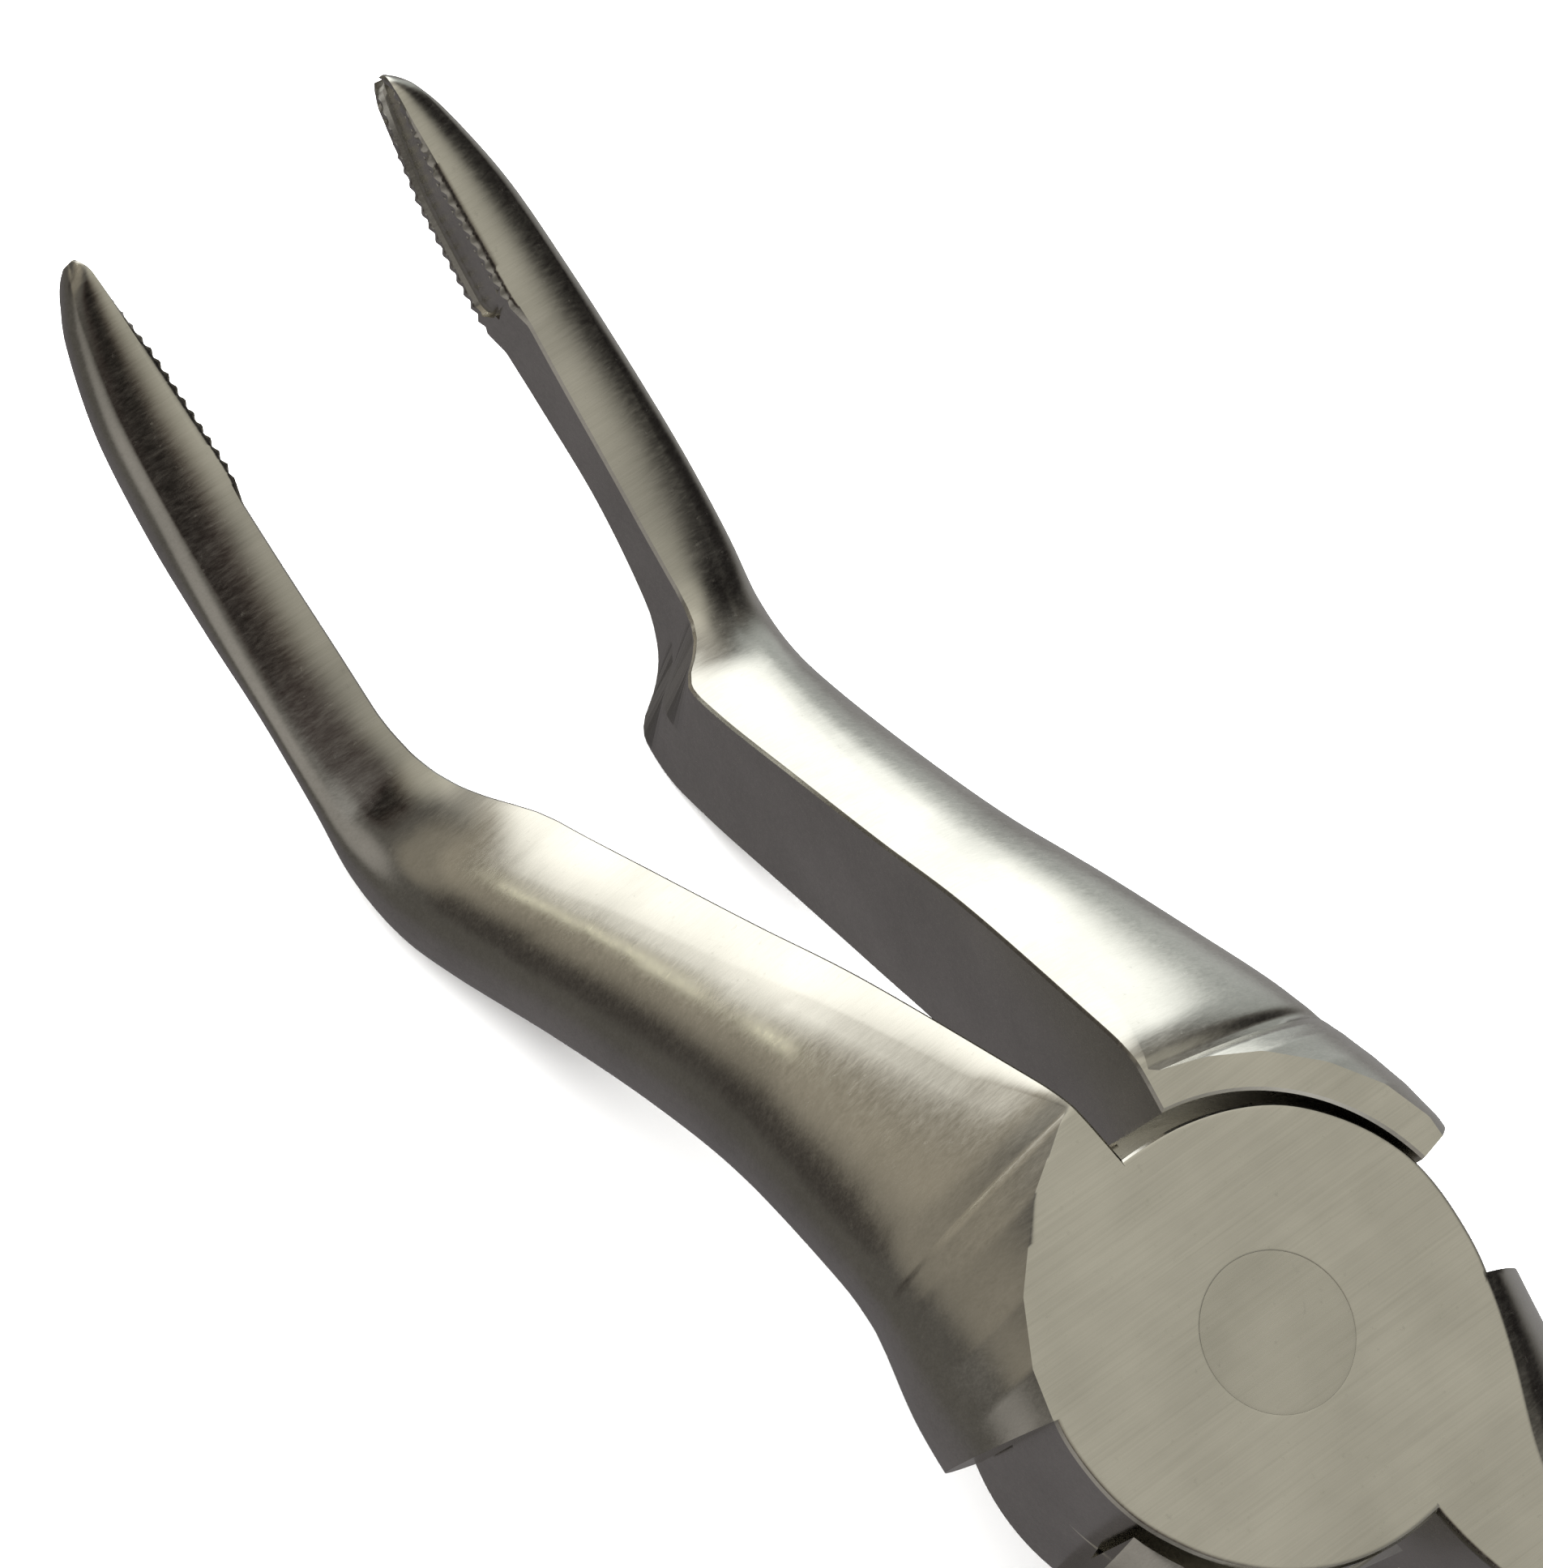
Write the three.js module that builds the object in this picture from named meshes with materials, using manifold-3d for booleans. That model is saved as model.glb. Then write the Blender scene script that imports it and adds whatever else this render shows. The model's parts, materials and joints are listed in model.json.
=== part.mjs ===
// Spring-loaded fishing pliers with long, offset, serrated jaws.
// Millimetres, +Z up. The pliers lie on a table on the heels of both jaws and on the
// ends of both grips, jaw tips towards +Y, with the origin under the middle of the tool.
// The arms are drawn closed, in a tool frame whose origin is the centre of the joint's
// front face and whose z axis is the pivot, and are then opened to their spring position.
import * as THREE from "three";
import { mergeVertices } from "three/addons/utils/BufferGeometryUtils.js";
import Module from "manifold-3d";

const wasm = await Module();
wasm.setup();

// ---------- driving dimensions ----------
const GAP = 0.3;                    // working clearance between neighbouring pieces
const OPENING = 14.1;               // degrees between the arms when the spring holds them
const REST_TILT = 7.04;             // degrees that the pivot leans back when the tool lies down
const ROUND_STEPS = 48;             // facets of a full circle

const JOINT_THICKNESS = 12;
const RECESS_JAW = { front: 11.5, rear: 11.2 };   // pocket for the other arm's lap, jaw side
const RECESS_HANDLE = 11.75;        // and handle side
const REAR_LAP_LEAST = 11.15;       // the rear arm's lap is nearer to round
const JAW_SHOULDER_ANGLE = 20;      // degrees above the x axis where the jaw's full depth ends
const HANDLE_SHOULDER_ANGLE = -25;  // degrees below it where the handle's full depth starts
const SHOULDER_ROOT = { jaw: 3, handle: -2.5 };   // y where each shoulder line turns inwards

const RIVET_HEAD_RADIUS = 3.75;
const RIVET_SHANK_RADIUS = 3.1;
const RIVET_HEAD_DEPTH = 1.6;

const TIP_Y = 74;                   // jaw tip, from the pivot
const HEEL_Y = 40;                  // lowest point of the jaw's offset bend
const NOSE_START_Y = 43.6;          // where the slim nose leaves the bend
const NOSE_STEP = 2.85;             // how far the nose's inner face steps back there
const PAD_START_Y = 61.2;
const PAD_END_Y = 73.4;
const TOOTH_COUNT = 17;
const TOOTH_DEPTH = 0.25;
const PAD_PROUD = 0.45;             // how far the pad stands in from the nose's inner edge
const GROOVE_DEPTH = 0.6;

const TANG_END_Y = -122;
const GRIP_FRONT_Y = -42;
const GRIP_END_Y = -130;
const GRIP_WALL = 2.4;
const TANG_HALF_DEPTH = 4.6;        // half of the tang's thickness inside the grip

const SPRING_STRIP = 0.8;
const SPRING_HEIGHT = 6;
const SPRING_SEAT_Y = -29.5;         // where each leg is screwed to its handle
const SPRING_SEAT_SLOPE = 9.5;      // degrees that the handle's inner face leans outwards there
const SPRING_LEG_TOP = 7;           // leg length above the screw
const SPRING_LOOP_Y = -60;          // bottom of the loop
const SCREW_RADIUS = 1.3;
const SCREW_LENGTH = 3.2;
const SCREW_HEAD_RADIUS = 2.3;
const SCREW_HEAD_HEIGHT = 0.9;

const MID_Z = -JOINT_THICKNESS / 2;
const CLOSED_X = GAP / 2;           // half of the slit between the closed arms

// ---------- shape helpers ----------
const radians = THREE.MathUtils.degToRad;

function smooth(points, count) {
  const curve = new THREE.SplineCurve(points.map(([a, b]) => new THREE.Vector2(a, b)));
  return curve.getPoints(count).map((point) => [point.x, point.y]);
}

function outline(points) {
  return new THREE.Shape(points.map(([a, b]) => new THREE.Vector2(a, b)));
}

function solid(geometry) {
  const bare = geometry.clone();
  bare.deleteAttribute("normal");
  bare.deleteAttribute("uv");
  const merged = mergeVertices(bare, 1e-5);
  const vertProperties = new Float32Array(merged.attributes.position.array);
  const triVerts = new Uint32Array(merged.index.array);
  return new wasm.Manifold(new wasm.Mesh({ numProp: 3, vertProperties, triVerts }));
}

function meshGeometry(body) {
  const mesh = body.getMesh();
  const geometry = new THREE.BufferGeometry();
  geometry.setAttribute("position", new THREE.BufferAttribute(mesh.vertProperties, 3));
  geometry.setIndex(new THREE.BufferAttribute(mesh.triVerts, 1));
  geometry.computeVertexNormals();
  return geometry;
}

// A plan outline (x, y) raised from z = low to z = high.
function planPrism(points, low, high) {
  const geometry = new THREE.ExtrudeGeometry(outline(points), { depth: high - low, bevelEnabled: false });
  geometry.translate(0, 0, low);
  return solid(geometry);
}

// A side outline (y, z) carried across from x = low to x = high.
function sidePrism(points, low, high) {
  const geometry = new THREE.ExtrudeGeometry(outline(points), { depth: high - low, bevelEnabled: false });
  geometry.applyMatrix4(new THREE.Matrix4().makeBasis(
    new THREE.Vector3(0, 1, 0), new THREE.Vector3(0, 0, 1), new THREE.Vector3(1, 0, 0)));
  geometry.translate(low, 0, 0);
  return solid(geometry);
}

// A closed body through rings that all have the same number of points, with flat ends.
function loft(rings) {
  const count = rings[0].length;
  const index = [];
  for (let r = 0; r + 1 < rings.length; r += 1) {
    for (let k = 0; k < count; k += 1) {
      const [a, b] = [r * count + k, r * count + (k + 1) % count];
      index.push(a, b, b + count, a, b + count, a + count);
    }
  }
  const last = (rings.length - 1) * count;
  for (let k = 1; k + 1 < count; k += 1) {
    index.push(0, k + 1, k, last, last + k, last + k + 1);
  }
  const geometry = new THREE.BufferGeometry();
  geometry.setAttribute("position", new THREE.Float32BufferAttribute(rings.flat(2), 3));
  geometry.setIndex(index);
  return solid(geometry);
}

// Rows of numbers at positions counted in rows, on a Catmull-Rom curve through them.
function rowsAt(rows, positions) {
  return positions.map((position) => {
    const i = Math.min(Math.floor(position), rows.length - 2);
    const t = position - i;
    return rows[i].map((p1, column) => {
      const p2 = rows[i + 1][column];
      const p0 = i > 0 ? rows[i - 1][column] : 2 * p1 - p2;
      const p3 = i + 2 < rows.length ? rows[i + 2][column] : 2 * p2 - p1;
      return 0.5 * (2 * p1 + (p2 - p0) * t + (2 * p0 - 5 * p1 + 4 * p2 - p3) * t ** 2
        + (3 * p1 - p0 - 3 * p2 + p3) * t ** 3);
    });
  });
}

function between(pairs, value) {
  const next = Math.max(1, pairs.findIndex(([at]) => at >= value));
  const [[a, low], [b, high]] = [pairs[next - 1], pairs[next]];
  return low + (high - low) * Math.min(1, Math.max(0, (value - a) / (b - a)));
}

function steps(low, high, count) {
  return Array.from({ length: count + 1 }, (_, k) => low + (high - low) * k / count);
}

function mirrorX(points) {
  return points.map(([x, y]) => [-x, y]).reverse();
}

// ---------- jaw, drawn on the +x side ----------
// Top edge (y, z), bottom edge (y, z), outermost x, edge of the top facet, the facet's crown
// as a share of the height, and the angle at which the round outer side starts.
const jawRows = [
  [-4, 0, -4, -12, 14.0, 11.6, 0, 62],
  [3, 0, 2, -12, 14.1, 11.2, 0, 62],
  [8, 0, 6.4, -12, 13.4, 9.0, 0, 62],
  [12.6, 0, 9.6, -12.15, 12.1, 3.6, 0, 64],
  [14.4, -0.45, 11.2, -12.5, 11.5, 1.6, 0.004, 68],
  [17, -2.5, 13.6, -13.3, 10.8, 1.8, 0.01, 74],
  [24, -8.6, 19, -16.9, 9.2, 2.4, 0.012, 80],
  [29, -13.9, 24, -21.2, 8.3, 2.8, 0.018, 80],
  [34, -19, 29.6, -26.1, 7.9, 3.2, 0.027, 78],
  [38.6, -23.6, 35.2, -31.0, 7.8, 4.0, 0.05, 74],
  [41.8, -26, 38.6, -33.2, 7.7, 4.7, 0.082, 70],
  [44.6, -26.9, 42.4, -33.1, 7.5, 5.2, 0.1, 66],
  [47.6, -26.6, 46.6, -30.8, 7.2, 5.4, 0.12, 62],
  [52, -25.8, 51.6, -29.25, 6.7, 5.3, 0.14, 60],
  [57, -24.95, 57, -28.8, 6.1, 5.0, 0.15, 60],
  [62, -24, 62, -28.5, 5.35, 4.4, 0.15, 60],
  [67, -23.25, 67, -27.4, 4.35, 3.45, 0.15, 60],
  [71, -22.7, 71, -26.2, 2.9, 2.2, 0.14, 62],
  [72.8, -22.45, 72.8, -25.5, 1.85, 1.4, 0.14, 66],
  [73.6, -22.7, 73.6, -25, 1.2, 0.8, 0.15, 70],
  [TIP_Y, -23.2, TIP_Y, -24.4, 0.7, 0.45, 0.15, 70],
];
// Edge of the flat joint face, (y, x), where the jaw starts to fall away.
const flatEdge = {
  front: [[-30, 11.3], [1.6, 11.3], [4.1, 10.95], [6.3, 10.1], [8.95, 8.15], [11.85, 4.7], [13.6, 1.1], [13.75, 0.5]],
  rear: [[-30, 12], [3.4, 12], [5.4, 11.75], [7.6, 10.6], [9.7, 8.6], [11.5, 6], [12.5, 3.2], [12.75, 1.4], [13, 0.5]],
};
const FACET_GROWTH = 0.35;          // width that the crowned facet gains per mm beyond the flat face

function noseInnerX(y) {
  return CLOSED_X + (NOSE_STEP - CLOSED_X) * (PAD_END_Y - y) / (PAD_END_Y - NOSE_START_Y);
}

function padInnerX(y) {
  return Math.max(noseInnerX(y) - PAD_PROUD, CLOSED_X);
}

function toothPoints() {
  const points = [];
  const pitch = (PAD_END_Y - PAD_START_Y) / TOOTH_COUNT;
  for (let tooth = 0; tooth < TOOTH_COUNT; tooth += 1) {
    const crest = PAD_END_Y - tooth * pitch;
    points.push([padInnerX(crest), crest]);
    points.push([padInnerX(crest - pitch / 2) + TOOTH_DEPTH, crest - pitch / 2]);
  }
  return points;
}

// Everything on the jaw's own side of the tool: inner faces and shoulder line.
function jawPlan() {
  const slope = Math.tan(radians(JAW_SHOULDER_ANGLE));
  const root = SHOULDER_ROOT.jaw;
  return [
    [CLOSED_X, root],
    [root / slope, root],
    [20, 20 * slope],
    [20, TIP_Y + 2],
    [CLOSED_X, TIP_Y + 2],
    ...toothPoints(),
    [padInnerX(PAD_START_Y), PAD_START_Y],
    [noseInnerX(PAD_START_Y - 1.2), PAD_START_Y - 1.2],
    [NOSE_STEP, NOSE_START_Y],
    [NOSE_STEP * 0.85, NOSE_START_Y - 0.9],
    [NOSE_STEP * 0.3, HEEL_Y + 1.6],
    [CLOSED_X, HEEL_Y + 1],
  ];
}

function jawGroove(side) {
  const floor = [
    [-1, PAD_START_Y + 0.8],
    [padInnerX(PAD_START_Y) + GROOVE_DEPTH, PAD_START_Y + 0.8],
    [padInnerX(PAD_END_Y) + GROOVE_DEPTH, PAD_END_Y + 1.5],
    [-1, PAD_END_Y + 1.5],
  ];
  const lips = [
    [PAD_START_Y - 1, -26.2], [PAD_START_Y + 2, -27.5], [PAD_END_Y + 1.5, -24.4],
    [PAD_END_Y + 1.5, -22.9], [PAD_START_Y + 2, -24.8],
  ];
  const plan = side > 0 ? floor : mirrorX(floor);
  return planPrism(plan, -40, 0).intersect(sidePrism(lips, -10, 10));
}

// One section of the jaw: flat inner side, crowned top facet, round outer side and bottom.
function jawRing(row, arm) {
  const [topY, rowTopZ, lowY, lowZ, outermost, rowFacet, rowCrown, startAngle] = row;
  const topZ = Math.min(rowTopZ, 0);
  const crown = Math.max(rowCrown, 0);
  const edge = flatEdge[arm];
  const [flatEndY, flatEndX] = edge.at(-1);
  const grown = Math.min(rowFacet, flatEndX + (topY - flatEndY) * FACET_GROWTH);
  const facet = topY < flatEndY ? between(edge, topY) : Math.max(grown, 0.4);
  const outer = Math.max(outermost, facet + 0.2);
  const begin = radians(startAngle);
  const shares = [[-1, 0], [-1, 1]];
  for (const t of [0, 0.5, 1]) {
    shares.push([facet * t, 1 - crown * t ** 2]);
  }
  for (const k of [0.8, 0.6, 0.4, 0.2, 0]) {
    const turn = Math.cos(begin * k) - Math.cos(begin);
    const x = facet + (outer - facet) * turn / (1 - Math.cos(begin));
    shares.push([x, 0.5 + (0.5 - crown) * Math.sin(begin * k) / Math.sin(begin)]);
  }
  for (const k of [0.2, 0.4, 0.6, 0.8, 1]) {
    const angle = Math.PI / 2 * k;
    const [x, z] = [Math.max(Math.cos(angle), 0) ** 0.87, Math.sin(angle) ** 0.87];
    shares.push([outer * x, 0.5 - 0.5 * z]);
  }
  return shares.map(([x, share]) => [x, lowY + (topY - lowY) * share, lowZ + (topZ - lowZ) * share]);
}

function rowPosition(rows, y) {
  return between(rows.map((row, index) => [row[0], index]), y);
}

function jaw(side) {
  const arm = side < 0 ? "front" : "rear";
  const ys = [...steps(-4, 2, 1), ...steps(3, 14.4, 14), ...steps(15.5, 44, 16), ...steps(46, 73, 14),
    73.6, TIP_Y];
  const rings = rowsAt(jawRows, ys.map((y) => rowPosition(jawRows, y))).map((row) => jawRing(row, arm));
  const body = onSide(loft(rings), side);
  const plan = side > 0 ? jawPlan() : mirrorX(jawPlan());
  return body.intersect(planPrism(plan, -40, 5)).subtract(jawGroove(side));
}

// Mirrors a body drawn on +x when its side is -1.
function onSide(body, side) {
  return side > 0 ? body : body.mirror([1, 0, 0]);
}

// ---------- handle, drawn on the +x side ----------
const seatTan = Math.tan(radians(SPRING_SEAT_SLOPE));
const NECK_INNER = [CLOSED_X, -13];
const SEAT_END = [NECK_INNER[0] + seatTan * 24, NECK_INNER[1] - 24];
// y, inner x, edge of the flat top, outermost x, half depth, fullness of the round side.
const handleRows = [
  [-2, CLOSED_X, 10.3, 13.4, 6, 1.7],
  [-4.9, CLOSED_X, 9.63, 13.3, 6, 1.7],
  [-8.1, CLOSED_X, 8.14, 12.55, 6, 1.75],
  [-12.4, CLOSED_X, 5.73, 11.6, 6, 1.8],
  [-16.5, 0.75, 4.6, 10.9, 5.95, 2],
  [-23, 1.83, 4.6, 10.5, 5.6, 2.2],
  [-30, 3, 5.6, 11.1, 5.15, 2.3],
  [-37, 4.2, 7.2, 12.6, 4.7, 2.5],
  [-54, 9.6, 12.2, 16.9, TANG_HALF_DEPTH, 2.8],
  [-72, 12.6, 15.2, 19.8, TANG_HALF_DEPTH, 2.8],
  [-92, 13.2, 15.6, 20.2, TANG_HALF_DEPTH, 2.8],
  [-116, 11.6, 13.2, 16.2, TANG_HALF_DEPTH, 2.8],
  [TANG_END_Y, 12.2, 13.2, 15, 4, 2.6],
];

function handleRing([y, inner, flat, outer, rowHalf, full], grow) {
  const half = Math.min(rowHalf, JOINT_THICKNESS / 2);
  const top = [[inner - grow, half + grow], [flat, half + grow]];
  for (const k of [0.8, 0.6, 0.4, 0.2]) {
    const angle = Math.PI / 2 * k;
    const x = flat + (outer + grow - flat) * Math.cos(angle) ** (2 / full);
    top.push([x, (half + grow) * Math.sin(angle) ** (2 / full)]);
  }
  const low = top.map(([x, z]) => [x, -z]).reverse();
  return [...top, [outer + grow, 0], ...low].map(([x, z]) => [x, y, MID_Z + z]).reverse();
}

function handleLoft(fromY, grow) {
  const last = handleRows.length - 1;
  const first = last - between([...handleRows].reverse().map((row, index) => [row[0], index]), fromY);
  const rings = rowsAt(handleRows, steps(first, last, 26)).map((row) => handleRing(row, grow));
  return loft(rings);
}

function handle(side) {
  const slope = Math.tan(radians(HANDLE_SHOULDER_ANGLE));
  const root = SHOULDER_ROOT.handle;
  const plan = [[-20, root], [-20, -140], [40, -140], [40, 40 * slope], [root / slope, root]];
  const shape = side > 0 ? plan : mirrorX(plan);
  return onSide(handleLoft(-2, 0), side).intersect(planPrism(shape, -20, 5));
}

// ---------- laps and their pockets, for an arm whose jaw is on -x ----------
// Free edge of a lap as (degrees, radius).
const lapEdge = [
  [-93, 10.75], [-80, 10.8], [-45, 10.9], [-25, 10.85], [-10, 10.75], [7, 10.85], [14, 10.82], [30, 10.7],
  [44, 10.62], [58, 10.42], [70, 10.3], [87, 10.34], [110, 10.9], [130, 11.3], [159, 11.6], [174, 11.45],
  [188, 11.3], [200, 11.1], [216, 10.95], [244, 10.85], [267, 10.75],
];

function roundPlan(radiusAt) {
  return Array.from({ length: 72 }, (_, k) => {
    const degrees = -93 + 360 * k / 72;
    const radius = radiusAt(degrees);
    return [radius * Math.cos(radians(degrees)), radius * Math.sin(radians(degrees))];
  });
}

function lapPlan(arm) {
  const least = arm === "front" ? 0 : REAR_LAP_LEAST;
  return roundPlan((degrees) => Math.max(between(lapEdge, degrees), least));
}

function recessPlan(arm) {
  const jawSide = RECESS_JAW[arm];
  const edge = [[-93, RECESS_HANDLE], [40, RECESS_HANDLE], [75, jawSide], [215, jawSide], [240, RECESS_HANDLE],
    [267, RECESS_HANDLE]];
  return roundPlan((degrees) => between(edge, degrees));
}

// ---------- rivet, screws and spring ----------
// The flush rivet's half section, (radius, z); extra grows it into the arms' bore.
function rivetProfile(extra, past) {
  const head = RIVET_HEAD_RADIUS + extra;
  const shank = RIVET_SHANK_RADIUS + extra;
  const low = -JOINT_THICKNESS;
  return [
    [0, low - past], [head, low - past], [head, low + 0.5], [shank, low + RIVET_HEAD_DEPTH],
    [shank, -RIVET_HEAD_DEPTH], [head, -0.5], [head, past], [0, past],
  ];
}

// Turns a half section about the z axis.
function lathe(profile, steps) {
  const points = profile.map(([radius, height]) => new THREE.Vector2(radius, height));
  const geometry = new THREE.LatheGeometry(points, steps);
  geometry.rotateX(Math.PI / 2);
  return geometry;
}

function rivetGeometry(extra, past) {
  return lathe(rivetProfile(extra, past), ROUND_STEPS);
}

// Half section of a screw that holds the spring against a handle whose face is at z = 0.
const HEAD_Z = SPRING_STRIP + GAP * 2;
const screwProfile = [
  [0, -SCREW_LENGTH], [SCREW_RADIUS, -SCREW_LENGTH], [SCREW_RADIUS, HEAD_Z], [SCREW_HEAD_RADIUS, HEAD_Z],
  [SCREW_HEAD_RADIUS, HEAD_Z + SCREW_HEAD_HEIGHT / 2], [SCREW_HEAD_RADIUS / 2, HEAD_Z + SCREW_HEAD_HEIGHT],
  [0, HEAD_Z + SCREW_HEAD_HEIGHT],
];

// Moves a shape drawn on +z so that it stands on the handle's seat, pointing between the handles.
function seatMatrix(handleSide) {
  const lean = radians(SPRING_SEAT_SLOPE);
  const drop = NECK_INNER[1] - SPRING_SEAT_Y;
  const normal = new THREE.Vector3(-handleSide * Math.cos(lean), -Math.sin(lean), 0);
  const along = new THREE.Vector3(-normal.y, normal.x, 0);
  const across = new THREE.Vector3().crossVectors(normal, along);
  const place = new THREE.Vector3(handleSide * (NECK_INNER[0] + seatTan * drop), SPRING_SEAT_Y, MID_Z);
  return new THREE.Matrix4().makeBasis(along, across, normal).setPosition(place);
}

function screwGeometry(handleSide) {
  return lathe(screwProfile, 20).applyMatrix4(seatMatrix(handleSide));
}

function screwHole(handleSide) {
  const reach = SCREW_LENGTH + GAP;
  const hole = new THREE.CylinderGeometry(SCREW_RADIUS + GAP, SCREW_RADIUS + GAP, reach * 2, 20);
  hole.rotateX(Math.PI / 2);
  return solid(hole.applyMatrix4(seatMatrix(handleSide)));
}

function turned(body, degrees) {
  return body.rotate([0, 0, degrees]);
}

// Centre line of the strip, in the opened tool frame, from the front leg round to the rear leg.
function springGeometry() {
  const open = radians(OPENING / 2);
  const lean = radians(SPRING_SEAT_SLOPE);
  const offset = GAP + SPRING_STRIP / 2;
  const inner = (distance) => {
    const x = NECK_INNER[0] + Math.sin(lean) * distance - Math.cos(lean) * offset;
    const y = NECK_INNER[1] - Math.cos(lean) * distance - Math.sin(lean) * offset;
    return [x * Math.cos(open) - y * Math.sin(open), x * Math.sin(open) + y * Math.cos(open)];
  };
  const seat = (NECK_INNER[1] - SPRING_SEAT_Y) / Math.cos(lean);
  const start = inner(seat - SPRING_LEG_TOP);
  const straight = inner(seat + 3);
  const half = [start, inner(seat), straight, [straight[0] + 0.2, straight[1] - 6],
    [straight[0] - 0.6, straight[1] - 13], [straight[0] * 0.7, SPRING_LOOP_Y + 3], [0, SPRING_LOOP_Y]];
  const middle = smooth([...half, ...half.slice(0, -1).reverse().map(([x, y]) => [-x, y])], 56);
  const sides = [[], []];
  middle.forEach(([x, y], index) => {
    const before = middle[Math.max(index - 1, 0)];
    const after = middle[Math.min(index + 1, middle.length - 1)];
    const length = Math.hypot(after[0] - before[0], after[1] - before[1]);
    const shiftX = (after[1] - before[1]) / length * SPRING_STRIP / 2;
    const shiftY = -(after[0] - before[0]) / length * SPRING_STRIP / 2;
    sides[0].push([x + shiftX, y + shiftY]);
    sides[1].push([x - shiftX, y - shiftY]);
  });
  const strip = planPrism([...sides[0], ...sides[1].reverse()],
    MID_Z - SPRING_HEIGHT / 2, MID_Z + SPRING_HEIGHT / 2);
  const holes = [1, -1].map((side) => turned(screwHole(side), side * OPENING / 2));
  return meshGeometry(strip.subtract(holes[0]).subtract(holes[1]));
}

// ---------- arms ----------
// jawSide is -1 for the front arm, whose lap lies on top, and +1 for the rear arm.
function armGeometry(jawSide) {
  const onTop = jawSide < 0;
  const seam = GAP / 2;
  const lapLow = onTop ? MID_Z + seam : -JOINT_THICKNESS;
  const lapHigh = onTop ? 0 : MID_Z - seam;
  const cutLow = onTop ? -JOINT_THICKNESS - 5 : MID_Z - seam;
  const cutHigh = onTop ? MID_Z + seam : 5;
  const arm = onTop ? "front" : "rear";
  let body = jaw(jawSide).add(handle(-jawSide));
  body = body.subtract(onSide(planPrism(recessPlan(arm), cutLow, cutHigh), -jawSide));
  body = body.add(onSide(planPrism(lapPlan(arm), lapLow, lapHigh), -jawSide));
  body = body.subtract(solid(rivetGeometry(GAP, 1)));
  body = body.subtract(screwHole(-jawSide));
  return meshGeometry(body);
}

// ---------- grips ----------
const gripInner = smooth([
  [3.2, GRIP_FRONT_Y], [5.6, -51], [9.0, -63], [10.7, -80], [10.6, -97], [9.2, -113], [9.0, GRIP_END_Y + 4],
], 12);
const gripOuter = smooth([
  [16.6, GRIP_END_Y + 4], [20.4, -112], [22.8, -95], [22.6, -78], [20.2, -62], [17.2, -50],
  [16.6, GRIP_FRONT_Y],
], 12);

function gripGeometry(side) {
  const plan = [...gripInner, [11.2, GRIP_END_Y], [14.6, GRIP_END_Y], ...gripOuter];
  const bevel = 2;
  const inset = plan.map(([x, y]) => [side * x, y]);
  const half = TANG_HALF_DEPTH + GRIP_WALL - bevel;
  const shape = outline(widen(side > 0 ? inset : inset.reverse(), -bevel));
  const outer = new THREE.ExtrudeGeometry(shape, {
    depth: half * 2, bevelEnabled: true, bevelThickness: bevel, bevelSize: bevel, bevelSegments: 2,
  });
  outer.translate(0, 0, MID_Z - half);
  const pocket = onSide(handleLoft(GRIP_FRONT_Y + 3, GAP), side);
  return meshGeometry(solid(outer).subtract(pocket));
}

// Moves every point of an outline outwards by a distance, along the mean of its edges' normals.
function widen(points, distance) {
  const area = THREE.ShapeUtils.area(points.map(([x, y]) => new THREE.Vector2(x, y)));
  const turn = area > 0 ? 1 : -1;
  return points.map(([x, y], index) => {
    const [beforeX, beforeY] = points.at(index - 1);
    const [afterX, afterY] = points[(index + 1) % points.length];
    const first = new THREE.Vector2(y - beforeY, beforeX - x).normalize();
    const second = new THREE.Vector2(afterY - y, x - afterX).normalize();
    const normal = first.add(second).normalize().multiplyScalar(turn * distance);
    return [x + normal.x, y + normal.y];
  });
}

// ---------- assembly ----------
const steel = { color: 0xa8a69a, roughness: 0.34, metalness: 1 };
const darkSteel = { color: 0x8f8d86, roughness: 0.4, metalness: 1 };
const vinyl = { color: 0x17161a, roughness: 0.6, metalness: 0 };

function piece(name, geometry, look) {
  const mesh = new THREE.Mesh(geometry, new THREE.MeshStandardMaterial(look));
  mesh.name = name;
  return mesh;
}

const frontArm = new THREE.Group();
frontArm.add(piece("front_arm", armGeometry(-1), steel));
frontArm.add(piece("pivot_rivet", rivetGeometry(0, 0), steel));
frontArm.add(piece("front_grip", gripGeometry(1), vinyl));
frontArm.add(piece("front_spring_screw", screwGeometry(1), darkSteel));
frontArm.rotation.z = radians(OPENING / 2);

const rearArm = new THREE.Group();
rearArm.add(piece("rear_arm", armGeometry(1), steel));
rearArm.add(piece("rear_grip", gripGeometry(-1), vinyl));
rearArm.add(piece("rear_spring_screw", screwGeometry(-1), darkSteel));
rearArm.rotation.z = -radians(OPENING / 2);

const tool = new THREE.Group();
tool.add(frontArm, rearArm, piece("return_spring", springGeometry(), darkSteel));

// Lay the tool down on its heels and grip ends, and centre its box over the origin.
tool.rotation.x = radians(REST_TILT);
const group = new THREE.Group();
group.add(tool);
group.updateMatrixWorld(true);
const box = new THREE.Box3().setFromObject(group, true);
const centre = box.getCenter(new THREE.Vector3());
tool.position.set(-centre.x, -centre.y, -box.min.z);

export default group;
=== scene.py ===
"""Looks of the spring-opened fishing pliers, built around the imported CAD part.

Shapes are drawn in millimetres in the closed tool frame: the origin is the middle of the
joint's front face, z is the pivot and +y runs to the jaw tips. place() then opens the arms
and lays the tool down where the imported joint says.
"""

import json
import math

import bmesh
import bpy
import numpy as np
from mathutils import Matrix, Vector


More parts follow.
